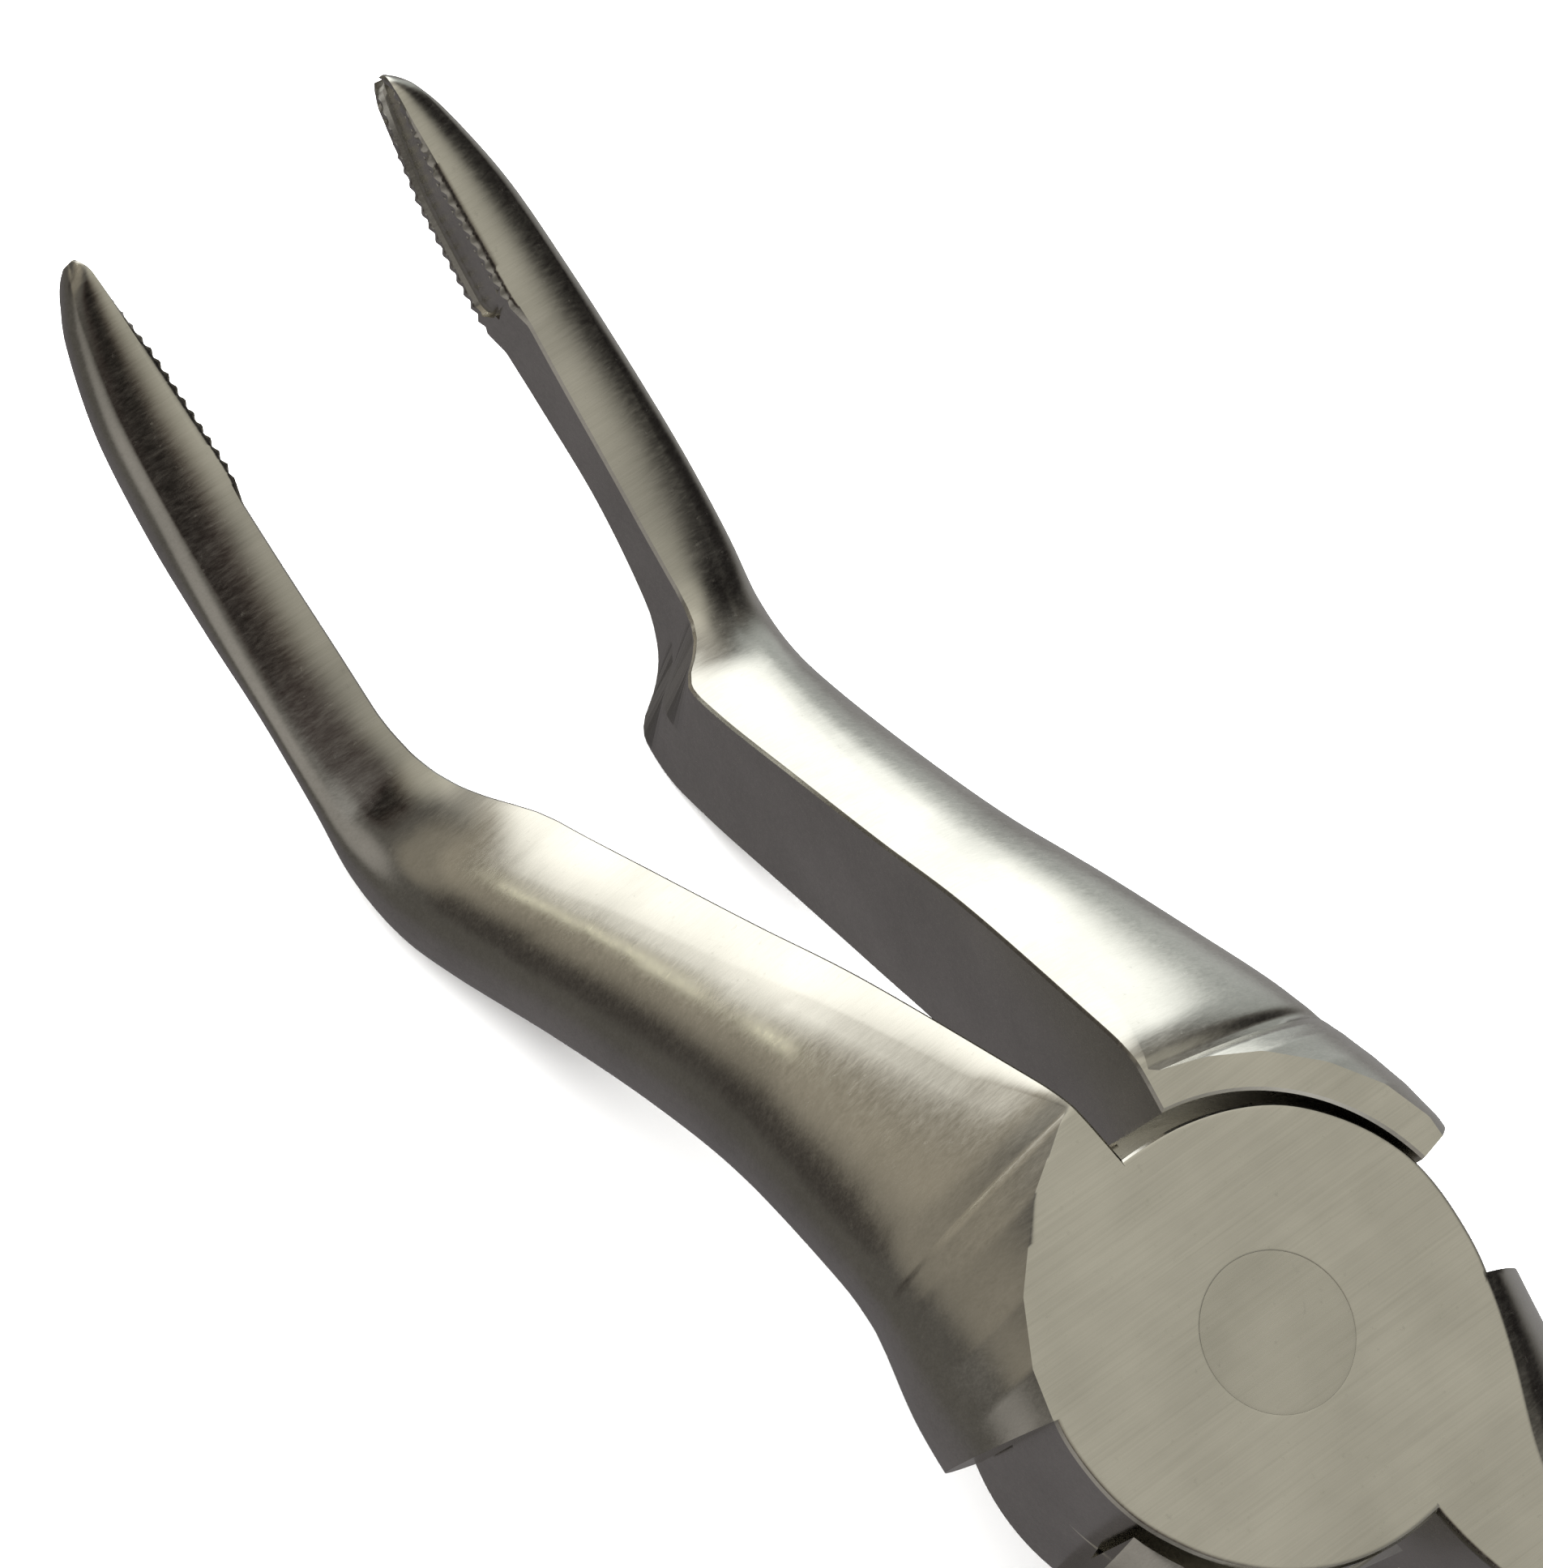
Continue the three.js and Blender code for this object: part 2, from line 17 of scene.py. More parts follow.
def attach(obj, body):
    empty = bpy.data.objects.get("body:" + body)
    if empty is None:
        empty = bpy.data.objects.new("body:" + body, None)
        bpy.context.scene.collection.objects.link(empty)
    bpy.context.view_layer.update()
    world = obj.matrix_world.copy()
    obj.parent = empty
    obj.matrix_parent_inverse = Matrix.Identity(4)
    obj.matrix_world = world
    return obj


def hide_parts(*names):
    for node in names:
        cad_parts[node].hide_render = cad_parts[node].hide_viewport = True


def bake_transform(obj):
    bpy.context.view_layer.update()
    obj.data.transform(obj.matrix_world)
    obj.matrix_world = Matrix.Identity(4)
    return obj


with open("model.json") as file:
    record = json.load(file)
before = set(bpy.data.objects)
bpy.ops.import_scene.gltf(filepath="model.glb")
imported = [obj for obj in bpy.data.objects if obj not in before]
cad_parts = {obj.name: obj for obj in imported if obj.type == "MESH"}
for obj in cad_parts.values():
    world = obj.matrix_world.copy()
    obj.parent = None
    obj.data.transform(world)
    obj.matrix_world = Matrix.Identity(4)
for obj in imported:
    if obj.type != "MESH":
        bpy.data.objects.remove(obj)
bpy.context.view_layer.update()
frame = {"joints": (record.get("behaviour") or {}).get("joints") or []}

# ---------- where the tool lies ----------
HINGE = next(j for j in frame["joints"] if j["name"] == "jaw_hinge")
PIVOT = Vector(HINGE["pos_m"])
TOOL_Z = -Vector(HINGE["axis"]).normalized()
TOOL_X = Vector((1, 0, 0))
TOOL_Y = TOOL_Z.cross(TOOL_X).normalized()
HALF_OPENING = math.radians(-HINGE["range_deg"][0] / 2)
TOOL_TURN = Matrix((TOOL_X, TOOL_Y, TOOL_Z)).transposed().to_4x4()
TOOL = Matrix.Translation(PIVOT) @ TOOL_TURN @ Matrix.Scale(0.001, 4)

# ---------- driving dimensions, millimetres ----------
THICKNESS = 12.0
MID_Z = -THICKNESS / 2
CLOSED_X = 0.15            # half of the slit between the closed arms
LAP_GAP = 0.12             # half of the seam between the two laps
JAW_SHOULDER = math.radians(20)
HANDLE_SHOULDER = math.radians(-25)
JAW_ROOT_Y = 3.0           # where each shoulder line turns inwards
HANDLE_ROOT_Y = -2.5
RIVET_RADIUS = 3.75
SHANK_RADIUS = 3.1
HEAD_DEPTH = 1.6           # from the joint face to where the rivet is slim

TIP_Y = 74.0
NOSE_START_Y = 43.6
NOSE_STEP = 2.85           # how far the nose's inner face steps back there
PAD_START_Y = 61.2
PAD_END_Y = 73.4
TOOTH_COUNT = 17
TOOTH_DEPTH = 0.2
PAD_PROUD = 0.47           # how far the pad's crests stand in from the nose's edge line
GROOVE_DEPTH = 0.55
GROOVE_HALF = 0.38         # half of the groove's width, as a share of the pad's height
GROOVE_END = 1.5           # length of the groove's rounded end
EDGE_BREAK = 0.14          # how far the jaw's inner edges are rounded off
PAD_EDGE_BREAK = 0.1       # and how much more along the pad

TANG_END_Y = -122.0
TANG_HALF_DEPTH = 4.6
GRIP_FRONT_Y = -42.0
GRIP_END_Y = -130.0
SEAT_SLOPE = math.radians(9.5)
SEAT_Y = -29.5
NECK_Y = -13.0
STRIP = 0.8
STRIP_HEIGHT = 6.0
LOOP_Y = -60.0
SEAT_ABOVE, SEAT_BELOW = 7, -3   # where the strip's leg lies against the handle, from the screw
SCREW_RADIUS = 1.3
SCREW_HEAD_RADIUS = 2.3
RIB_START_Y, RIB_END_Y = -108, -58
RIB_PITCH = 3.2
RIB_DEPTH = 0.42
LIP = 0.35                 # swelling at the grip's front edge

# Edge of the flat joint face on the jaw's side, as (x, y), beyond which the jaw falls away.
FRONT_FLAT = [(0.5, 13.75), (1.1, 13.6), (4.7, 11.85), (8.15, 8.95), (10.1, 6.3), (10.95, 4.1), (11.3, 1.6)]
REAR_FLAT = [(0.5, 13.0), (1.4, 12.75), (3.2, 12.5), (6.0, 11.5), (8.6, 9.7), (10.6, 7.6), (11.75, 5.4),
             (12.0, 3.4)]
UNDERSIDE_POWER = 2 / 2.3  # fullness of a jaw's round underside
FACET_GROWTH = 0.35        # width that the crowned facet gains per millimetre beyond the flat
# Free edge of a lap as (degrees, radius), for an arm whose jaw is on -x and whose handle is on +x.
LAP_EDGE = [
    (-93, 10.75), (-80, 10.8), (-45, 10.9), (-25, 10.85), (-10, 10.75), (7, 10.85), (14, 10.82), (30, 10.7),
    (44, 10.62), (58, 10.42), (70, 10.3), (87, 10.34), (110, 10.9), (130, 11.3), (159, 11.6), (174, 11.45),
    (188, 11.3), (200, 11.1), (216, 10.95), (244, 10.85), (267, 10.75),
]
REAR_LAP_LEAST = 11.15     # the rear arm's lap is nearer to round
RECESS_JAW = {True: 11.5, False: 11.15}   # pocket wall on the jaw's side, front arm and rear arm
RECESS_HANDLE = 11.75      # and on the handle's side

# Along a jaw: top edge (y, z), bottom edge (y, z), outermost x, edge of the top facet,
# crown of the facet as a share of the height, and the angle at which the round side starts.
JAW_ROWS = [
    (-4.0, 0.0, -4.0, -12.0, 14.0, 11.6, 0.0, 62),
    (3.0, 0.0, 2.0, -12.0, 14.1, 11.2, 0.0, 62),
    (8.0, 0.0, 6.4, -12.0, 13.4, 9.0, 0.0, 62),
    (12.6, 0.0, 9.6, -12.15, 12.1, 3.6, 0.0, 64),
    (14.4, -0.45, 11.2, -12.5, 11.5, 1.6, 0.004, 68),
    (17.0, -2.5, 13.6, -13.3, 10.8, 1.8, 0.01, 74),
    (24.0, -8.6, 19.0, -16.9, 9.2, 2.4, 0.012, 80),
    (29.0, -13.9, 24.0, -21.2, 8.3, 2.8, 0.018, 80),
    (34.0, -19.0, 29.6, -26.1, 7.9, 3.2, 0.027, 78),
    (38.6, -23.6, 35.2, -31.0, 7.8, 4.0, 0.05, 74),
    (41.8, -26.0, 38.6, -33.2, 7.7, 4.7, 0.082, 70),
    (44.6, -26.9, 42.4, -33.1, 7.5, 5.2, 0.10, 66),
    (47.6, -26.6, 46.6, -30.8, 7.2, 5.4, 0.12, 62),
    (52.0, -25.8, 51.6, -29.25, 6.7, 5.3, 0.14, 60),
    (57.0, -24.95, 57.0, -28.8, 6.1, 5.0, 0.15, 60),
    (62.0, -24.0, 62.0, -28.5, 5.35, 4.4, 0.15, 60),
    (67.0, -23.25, 67.0, -27.4, 4.35, 3.45, 0.15, 60),
    (71.0, -22.7, 71.0, -26.2, 2.9, 2.2, 0.14, 62),
    (72.8, -22.45, 72.8, -25.5, 1.85, 1.4, 0.14, 66),
    (73.6, -22.7, 73.6, -25.0, 1.2, 0.8, 0.15, 70),
    (74.0, -23.2, 74.0, -24.4, 0.7, 0.45, 0.15, 70),
]
# Inner edge where the nose steps back, (x, y): the front arm's is ground softer.
FRONT_STEP = [(0.15, 38.8), (0.3, 39.8), (0.66, 40.8), (1.15, 41.9), (1.62, 43.1), (2.0, 44.4), (2.28, 45.8),
              (2.42, 47.2), (2.42, 48.4)]
REAR_STEP = [(0.15, 40.2), (0.24, 40.8), (0.75, 41.5), (1.5, 42.15), (2.12, 42.9), (2.5, 43.7), (2.66, 44.6),
             (2.67, 45.6)]

# Along a handle: y, inner x, edge of the flat top, outermost x, half depth, fullness.
HANDLE_ROWS = [
    (-2.0, 0.15, 10.3, 13.4, 6.0, 1.7),
    (-4.9, 0.15, 9.63, 13.3, 6.0, 1.7),
    (-8.1, 0.15, 8.14, 12.55, 6.0, 1.75),
    (-12.4, 0.15, 5.73, 11.6, 6.0, 1.8),
    (-16.5, 0.75, 4.6, 10.9, 5.95, 2.0),
    (-23.0, 1.83, 4.6, 10.5, 5.6, 2.2),
    (-30.0, 3.0, 5.6, 11.1, 5.15, 2.3),
    (-37.0, 4.2, 7.2, 12.6, 4.7, 2.5),
    (-54.0, 9.6, 12.2, 16.9, TANG_HALF_DEPTH, 2.8),
    (-72.0, 12.6, 15.2, 19.8, TANG_HALF_DEPTH, 2.8),
    (-92.0, 13.2, 15.6, 20.2, TANG_HALF_DEPTH, 2.8),
    (-116.0, 11.6, 13.2, 16.2, TANG_HALF_DEPTH, 2.8),
    (TANG_END_Y, 12.2, 13.2, 15.0, 4.0, 2.6),
]
# Along a grip: y, inner x, outer x, half depth.
GRIP_ROWS = [
    (-42.0, 3.3, 16.5, 6.9), (-44.0, 3.9, 16.7, 7.0), (-51.0, 5.7, 17.4, 6.9), (-63.0, 9.1, 20.3, 7.0),
    (-80.0, 10.8, 22.6, 7.0), (-97.0, 10.7, 22.7, 7.0), (-112.0, 9.3, 20.4, 6.9), (-122.0, 9.0, 17.9, 6.6),
    (-127.0, 9.7, 16.2, 5.6), (-129.2, 11.0, 14.9, 4.0), (GRIP_END_Y, 12.3, 13.6, 1.6),
]


# ---------- curves and meshes ----------
def spline(rows, at):
    """Catmull-Rom through rows of numbers, at positions counted in rows."""
    rows = np.asarray(rows, float)
    at = np.clip(np.asarray(at, float), 0, len(rows) - 1)
    i = np.clip(at.astype(int), 0, len(rows) - 2)
    t = (at - i)[:, None]
    p1, p2 = rows[i], rows[i + 1]
    p0 = np.where((i > 0)[:, None], rows[np.maximum(i - 1, 0)], 2 * p1 - p2)
    p3 = np.where((i < len(rows) - 2)[:, None], rows[np.minimum(i + 2, len(rows) - 1)], 2 * p2 - p1)
    return 0.5 * (2 * p1 + (p2 - p0) * t + (2 * p0 - 5 * p1 + 4 * p2 - p3) * t ** 2
                  + (3 * p1 - p0 - 3 * p2 + p3) * t ** 3)


def mesh_object(name, verts, faces):
    """A linked object whose normals all point outwards."""
    mesh = bpy.data.meshes.new(name)
    mesh.from_pydata([tuple(v) for v in verts], [], faces)
    mesh.validate()
    bm = bmesh.new()
    bm.from_mesh(mesh)
    bmesh.ops.recalc_face_normals(bm, faces=bm.faces)
    bm.to_mesh(mesh)
    bm.free()
    obj = bpy.data.objects.new(name, mesh)
    bpy.context.scene.collection.objects.link(obj)
    return obj


def loft(name, rings):
    """A closed body through rings of the same number of points, with flat ends."""
    count = len(rings[0])
    verts = [p for ring in rings for p in ring]
    faces = []
    for r in range(len(rings) - 1):
        for k in range(count):
            a, b = r * count + k, r * count + (k + 1) % count
            faces.append((a, b, b + count, a + count))
    faces.append(tuple(range(count)))
    faces.append(tuple(range((len(rings) - 1) * count, len(rings) * count)))
    return mesh_object(name, verts, faces)


def turned(name, profile, steps=160):
    """A half section (radius, z), open at both ends on the axis, turned about z."""
    verts, faces, rows = [], [], []
    for radius, z in profile:
        if radius < 1e-6:
            rows.append([len(verts)] * steps)
            verts.append((0, 0, z))
        else:
            rows.append(list(range(len(verts), len(verts) + steps)))
            turns = [2 * math.pi * k / steps for k in range(steps)]
            verts.extend((radius * math.cos(a), radius * math.sin(a), z) for a in turns)
    for low, high in zip(rows, rows[1:]):
        for k in range(steps):
            quad = [low[k], low[(k + 1) % steps], high[(k + 1) % steps], high[k]]
            face = tuple(dict.fromkeys(quad))
            if len(face) > 2:
                faces.append(face)
    return mesh_object(name, verts, faces)


def prism(name, plan, low, high):
    """A straight-sided body over an outline of (x, y)."""
    return loft(name, [[(x, y, z) for x, y in plan] for z in (low, high)])


def bake_modifiers(obj):
    """Replaces the mesh by what its modifiers make of it."""
    bpy.context.view_layer.update()
    depsgraph = bpy.context.evaluated_depsgraph_get()
    made = bpy.data.meshes.new_from_object(
        obj.evaluated_get(depsgraph), preserve_all_data_layers=True, depsgraph=depsgraph)
    obj.modifiers.clear()
    old = obj.data
    obj.data = made
    bpy.data.meshes.remove(old)


def combine(target, tool, operation):
    """Boolean of two closed bodies; the tool is used up."""
    mod = target.modifiers.new(operation, "BOOLEAN")
    mod.operation = operation
    mod.solver = "MANIFOLD"
    mod.object = tool
    bake_modifiers(target)
    bpy.data.objects.remove(tool)
    return target


def tidy_mesh(obj, sharp=28):
    """Merges doubled points and keeps edges sharper than the angle crisp."""
    bm = bmesh.new()
    bm.from_mesh(obj.data)
    bmesh.ops.remove_doubles(bm, verts=bm.verts, dist=0.002)
    bmesh.ops.dissolve_degenerate(bm, dist=0.001, edges=bm.edges)
    bmesh.ops.recalc_face_normals(bm, faces=bm.faces)
    bm.to_mesh(obj.data)
    bm.free()
    obj.data.polygons.foreach_set("use_smooth", [True] * len(obj.data.polygons))
    obj.data.set_sharp_from_angle(angle=math.radians(sharp))
    weighted = obj.modifiers.new("weighted", "WEIGHTED_NORMAL")
    weighted.keep_sharp = True
    weighted.weight = 80
    bake_modifiers(obj)


def place(obj, name, side=0):
    """Opens a piece with its arm (side +1 turns with the front arm) and lays it down, in metres."""
    obj.data.transform(TOOL @ Matrix.Rotation(side * HALF_OPENING, 4, "Z"))
    obj.name = name
    obj.data.name = name
    obj.data.update()


def mirror(obj):
    """Flips a body to the other side of the centre line."""
    obj.data.transform(Matrix.Scale(-1, 4, (1, 0, 0)))
    obj.data.flip_normals()
    return obj


# ---------- jaw, drawn on +x ----------
def inner_x(y, front):
    """The jaw's inner face, without teeth or groove."""
    step_line = FRONT_STEP if front else REAR_STEP
    nose = CLOSED_X + (NOSE_STEP - CLOSED_X) * (PAD_END_Y - y) / (PAD_END_Y - NOSE_START_Y)
    xs, ys = zip(*step_line)
    return float(np.interp(y, ys, xs)) if y < ys[-1] else max(nose, CLOSED_X)


def pad_share(y):
    """0 on the arm and nose, 1 on the serrated pad, fading out again at the tip."""
    return float(np.clip(min((y - PAD_START_Y + 1.2) / 1.6, (TIP_Y - y) / 1.0), 0, 1))


def face_x(y, front):
    """Where the inner face stands: the pad is proud of the nose's edge line."""
    line = inner_x(y, front)
    return max(line - PAD_PROUD * pad_share(y), CLOSED_X)


def tooth(y):
    """Depth below the crests of the teeth."""
    if not PAD_START_Y < y < PAD_END_Y:
        return 0.0
    phase = (PAD_END_Y - y) / (PAD_END_Y - PAD_START_Y) * TOOTH_COUNT
    return TOOTH_DEPTH * (1 - abs(2 * (phase % 1) - 1))


def jaw_positions():
    """Where along JAW_ROWS the rings are: dense over the teeth and the joint's crease."""
    ys = np.array([row[0] for row in JAW_ROWS])
    spans = [(ys[0], 2, 6), (2.3, 14.4, 60), (14.8, 38, 50), (38.4, 46, 26), (46.5, PAD_START_Y - 1.4, 30),
             (PAD_START_Y - 1.3, PAD_START_Y - 0.1, 8), (PAD_START_Y, PAD_END_Y, TOOTH_COUNT * 6 + 1),
             (PAD_END_Y + 0.06, ys[-1], 8)]
    return np.concatenate([np.interp(np.linspace(*span), ys, np.arange(len(ys))) for span in spans])


def facet_edge(top_y, facet, front):
    """Edge of the top: the flat joint face first, then a facet that widens to the row's own."""
    xs, ys = zip(*reversed(FRONT_FLAT if front else REAR_FLAT))
    if top_y < ys[-1]:
        return float(np.interp(top_y, ys, xs))
    return max(min(facet, xs[-1] + (top_y - ys[-1]) * FACET_GROWTH), xs[-1])


def jaw_ring(row, front):
    """One closed section: inner face with teeth and groove, crowned facet, round outer side."""
    top_y, top_z, low_y, low_z, outer, facet, crown, start = row
    top_z, crown = min(top_z, 0.0), max(crown, 0.0)
    top, low = np.array([top_y, top_z]), np.array([low_y, low_z])
    height = np.linalg.norm(top - low)
    facet = facet_edge(top_y, facet, front)
    ring = []

    def point(x, share):
        y, z = low + (top - low) * share
        ring.append((x, y, z))

    def face(share, sunk=0.0, toothed=True):
        y = low_y + (top_y - low_y) * share
        point(face_x(y, front) + (tooth(y) if toothed else 0) + sunk, share)

    pad = pad_share(top_y)
    edge = (EDGE_BREAK + PAD_EDGE_BREAK * pad) / height
    into_pad = np.clip((top_y - PAD_START_Y - 0.3) / GROOVE_END, 0, 1)
    half = min(GROOVE_HALF * math.sqrt(max(1 - (1 - into_pad) ** 2, 0.0)), 0.42 - edge)
    depth = GROOVE_DEPTH * min(1, half / GROOVE_HALF * 1.5)
    for share in (edge, edge + 0.02):
        face(share)
    bowl = [(-1.0, 0.0), (-0.98, 0.25), (-0.9, 0.62), (-0.72, 0.86), (-0.4, 0.97), (0.0, 1.0)]
    for along, sunk in bowl + [(-a, d) for a, d in bowl[-2::-1]]:
        face(0.5 + along * max(half, 0.03), depth * sunk, sunk < 0.1)
    for share in (1 - edge - 0.02, 1 - edge):
        face(share)
    at_top = inner_x(top_y, front) + EDGE_BREAK * (1 - pad)
    at_low = inner_x(low_y, front) + EDGE_BREAK * (1 - pad)
    facet = max(facet, at_top + 0.12)
    outer = max(outer, facet + 0.2)
    point(at_top * 0.55 + face_x(top_y, front) * 0.45, 1 - edge * 0.4)
    for k in range(10):
        t = k / 10
        point(at_top + (facet - at_top) * t, 1 - crown * t ** 2)
    begin = math.radians(start)
    rest = 0.5 - crown
    for k in range(14):
        angle = begin * (1 - k / 14)
        x = facet + (outer - facet) * (math.cos(angle) - math.cos(begin)) / (1 - math.cos(begin))
        point(x, 0.5 + rest * math.sin(angle) / math.sin(begin))
    for k in range(18):
        angle = math.pi / 2 * k / 18
        across, down = math.cos(angle) ** UNDERSIDE_POWER, math.sin(angle) ** UNDERSIDE_POWER
        point(at_low + (outer - at_low) * across, 0.5 - 0.5 * down)
    point(at_low, 0.0)
    point(at_low * 0.55 + face_x(low_y, front) * 0.45, edge * 0.4)
    return ring


def jaw_body(front):
    """The whole jaw, with its root running on under the joint's disc."""
    rows = spline(JAW_ROWS, jaw_positions())
    return loft("jaw", [jaw_ring(row, front) for row in rows])


# ---------- handle, drawn on +x ----------
def handle_section(y, inner, flat, outer, half, full, grow=0.0, steps=14):
    """Flat inner face and flat top, then a full round outer side."""
    edge = 0.3
    inner, flat, outer, half = inner - grow, flat, outer + grow, half + grow
    top = [(inner, half - edge), (inner + edge * 0.3, half - edge * 0.3), (inner + edge, half),
           (flat - 0.3, half), (flat - 0.05, half - 0.03)]
    for k in range(1, steps):
        angle = math.pi / 2 * (1 - k / steps)
        across, up = math.cos(angle) ** (2 / full), math.sin(angle) ** (2 / full)
        top.append((flat + (outer - flat) * across, (half - 0.1) * up))
    ring = top + [(outer, 0.0)] + [(x, -z) for x, z in reversed(top)]
    return [(x, y, MID_Z + z) for x, z in ring]


def handle_body():
    """The handle with its tang."""
    rows = spline(HANDLE_ROWS, np.linspace(0, len(HANDLE_ROWS) - 1, 130))
    return loft("handle", [handle_section(*row) for row in rows])


# ---------- the two arms ----------
def root_cut(shoulder, root_y, end_y):
    """A cutter from a shoulder line, which turns inwards at root_y, out to end_y."""
    near, far = CLOSED_X - 3, 30
    slope = math.tan(shoulder)
    plan = [(near, root_y), (root_y / slope, root_y), (far, far * slope), (far, end_y), (near, end_y)]
    return prism("cut", plan, -30, 5)


def shoulder_cut():
    """Everything on the handle's side of the jaw's shoulder line."""
    return root_cut(JAW_SHOULDER, JAW_ROOT_Y, -20)


def handle_cut():
    """Everything on the jaw's side of the handle's shoulder line."""
    return root_cut(HANDLE_SHOULDER, HANDLE_ROOT_Y, 9)


def by_angle(pairs, inset, count=220):
    """A closed outline from (degrees, radius) pairs."""
    angles, radii = zip(*pairs)
    turns = np.linspace(angles[0], angles[0] + 360, count, endpoint=False)
    rows = np.interp(turns, angles + (angles[0] + 360,), np.arange(len(angles) + 1))
    smooth = spline([[r] for r in radii + (radii[0],)], rows)[:, 0] - inset
    return [(r * math.cos(math.radians(t)), r * math.sin(math.radians(t))) for t, r in zip(turns, smooth)]


def lap(front):
    """The half-thickness disc of an arm, drawn for a jaw on -x, with softly broken edges."""
    high, low = (0, MID_Z + LAP_GAP) if front else (MID_Z - LAP_GAP, -THICKNESS)
    rings = []
    for z, inset in [(high, 0.32), (high - 0.05, 0.12), (high - 0.2, 0.0), (low + 0.12, 0.0), (low, 0.1)]:
        edge = [(angle, radius if front else max(radius, REAR_LAP_LEAST)) for angle, radius in LAP_EDGE]
        rings.append([(x, y, z) for x, y in by_angle(edge, inset)])
    return loft("lap", rings)


def recess(front):
    """The pocket in one arm that takes the other arm's lap, drawn for a jaw on -x."""
    jaw_side = RECESS_JAW[front]
    pairs = [(-100, RECESS_HANDLE), (0, RECESS_HANDLE), (40, RECESS_HANDLE), (75, jaw_side), (120, jaw_side),
             (180, jaw_side), (215, jaw_side), (240, RECESS_HANDLE)]
    mouth, inside, far = (-THICKNESS, MID_Z + LAP_GAP, -1) if front else (0, MID_Z - LAP_GAP, 1)
    rings = []
    for z, inset in [(mouth + far * 3, -0.4), (mouth, -0.14), (mouth - far * 0.14, 0.0), (inside, 0.0)]:
        rings.append([(x, y, z) for x, y in by_angle(pairs, inset)])
    return loft("recess", rings)


def bore():
    """The rivet's hole, countersunk at both faces, which the rivet fills."""
    r = RIVET_RADIUS + 0.008
    half = [(0, 1), (r + 0.1, 1), (r + 0.1, 0), (r + 0.03, -0.008), (r, -0.014), (r, -0.5),
            (SHANK_RADIUS + 0.02, -HEAD_DEPTH)]
    profile = half + [(radius, -THICKNESS - z) for radius, z in reversed(half)]
    return turned("bore", profile, 120)


def arm(name, front):
    """One forged arm: jaw on one side, handle on the other, lapped over the other arm's disc."""
    jaw = jaw_body(front)
    combine(jaw, shoulder_cut(), "DIFFERENCE")
    handle = handle_body()
    combine(handle, handle_cut(), "DIFFERENCE")
    body = combine(mirror(jaw), handle, "UNION")
    combine(body, recess(front), "DIFFERENCE")
    combine(body, lap(front), "UNION")
    if not front:
        mirror(body)
    combine(body, bore(), "DIFFERENCE")
    tidy_mesh(body)
    place(body, name, 1 if front else -1)
    return body


# ---------- rivet, spring and screws ----------
def rivet():
    """The rivet, peened out into both countersinks and ground flush."""
    r = RIVET_RADIUS
    top = [(0, 0.0), (r * 0.6, -0.002), (r - 0.2, -0.004), (r - 0.06, -0.01), (r, -0.014), (r, -0.5),
           (SHANK_RADIUS, -HEAD_DEPTH)]
    low = [(radius, -THICKNESS - z) for radius, z in reversed(top)]
    body = turned("rivet", top + low, 120)
    tidy_mesh(body)
    place(body, "rivet_head", 1)
    return body


def opened(x, y):
    """A point of the front arm once the arms are open."""
    c, s = math.cos(HALF_OPENING), math.sin(HALF_OPENING)
    return (x * c - y * s, x * s + y * c)


def seat_point(y_along, offset):
    """A point beside the front handle's spring seat, in the opened tool frame."""
    x = CLOSED_X + math.tan(SEAT_SLOPE) * (NECK_Y - y_along)
    return opened(x - math.cos(SEAT_SLOPE) * offset, y_along - math.sin(SEAT_SLOPE) * offset)


def spring():
    """One bent steel strip: a leg on each handle and a loop between the grips."""
    start, seat, end = (seat_point(SEAT_Y + d, STRIP / 2 + 0.06) for d in (SEAT_ABOVE, 0, SEAT_BELOW))
    half = [start, seat, end, (end[0] + 0.2, end[1] - 6), (end[0] - 0.6, end[1] - 13),
            (end[0] * 0.7, LOOP_Y + 3), (0, LOOP_Y)]
    line = np.array(half + [(-x, y) for x, y in half[-2::-1]])
    middle = spline(line, np.linspace(0, len(line) - 1, 150))
    tangent = np.gradient(middle, axis=0)
    tangent /= np.linalg.norm(tangent, axis=1)[:, None]
    rings = []
    for index, ((x, y), (tx, ty)) in enumerate(zip(middle, tangent)):
        from_end = min(index, len(middle) - 1 - index)
        wide = STRIP_HEIGHT / 2 * min(1, math.sqrt(0.35 + 0.65 * min(from_end / 9, 1)))
        ring = []
        for along, thick in section_points(wide, STRIP / 2, 0.16):
            ring.append((x + ty * thick, y - tx * thick, MID_Z + along))
        rings.append(ring)
    body = loft("spring", rings)
    tidy_mesh(body)
    place(body, "spring_strip")
    return body


def section_points(half_wide, half_thick, radius, steps=4):
    """The strip's section, with rounded corners."""
    points = []
    corners = [(half_wide - radius, half_thick - radius, 0), (radius - half_wide, half_thick - radius, 90),
               (radius - half_wide, radius - half_thick, 180), (half_wide - radius, radius - half_thick, 270)]
    for cx, cy, start in corners:
        for k in range(steps + 1):
            a = math.radians(start + 90 * k / steps)
            points.append((cx + radius * math.cos(a), cy + radius * math.sin(a)))
    return points


